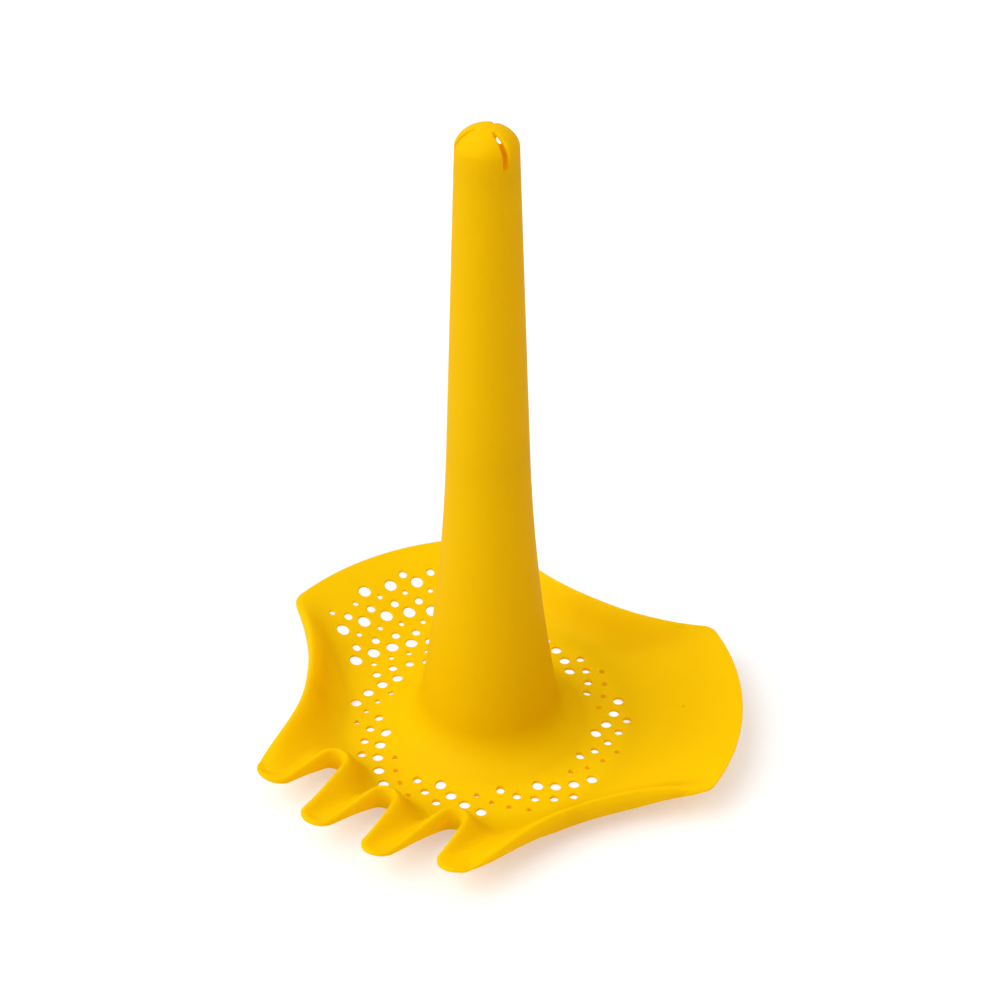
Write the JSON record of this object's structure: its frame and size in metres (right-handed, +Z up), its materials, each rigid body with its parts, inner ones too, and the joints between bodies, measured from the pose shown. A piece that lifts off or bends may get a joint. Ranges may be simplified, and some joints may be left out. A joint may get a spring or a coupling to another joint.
{
  "type": "sand sieve",
  "caption": "Hollow tapering handle on a lobed dish with a perforated sieve lobe, a plain shovel lobe and a rake lobe with rounded tines, for play in sand.",
  "frame": {"origin": "middle of the plan's bounding box, on the ground plane under the flat floor ring", "axes": "+Z up along the handle, +X towards the shovel lobe, +Y to the rear"},
  "size_m": [0.1745, 0.1868, 0.2515],
  "materials": {
    "moulded_plastic": "satin moulded polypropylene"
  },
  "bodies": {
    "root": {"handle_cap": "moulded_plastic", "handle_tube": "moulded_plastic", "handle_flare": "moulded_plastic", "sieve": "moulded_plastic", "shovel_blade": "moulded_plastic", "sieve_wall_rear": "moulded_plastic", "sieve_wall_left": "moulded_plastic", "shovel_wall_rear": "moulded_plastic", "shovel_wall_front": "moulded_plastic", "rake_tine_1": "moulded_plastic", "rake_tine_2": "moulded_plastic", "rake_tine_3": "moulded_plastic", "rake_tine_4": "moulded_plastic"}
  },
  "joints": []
}
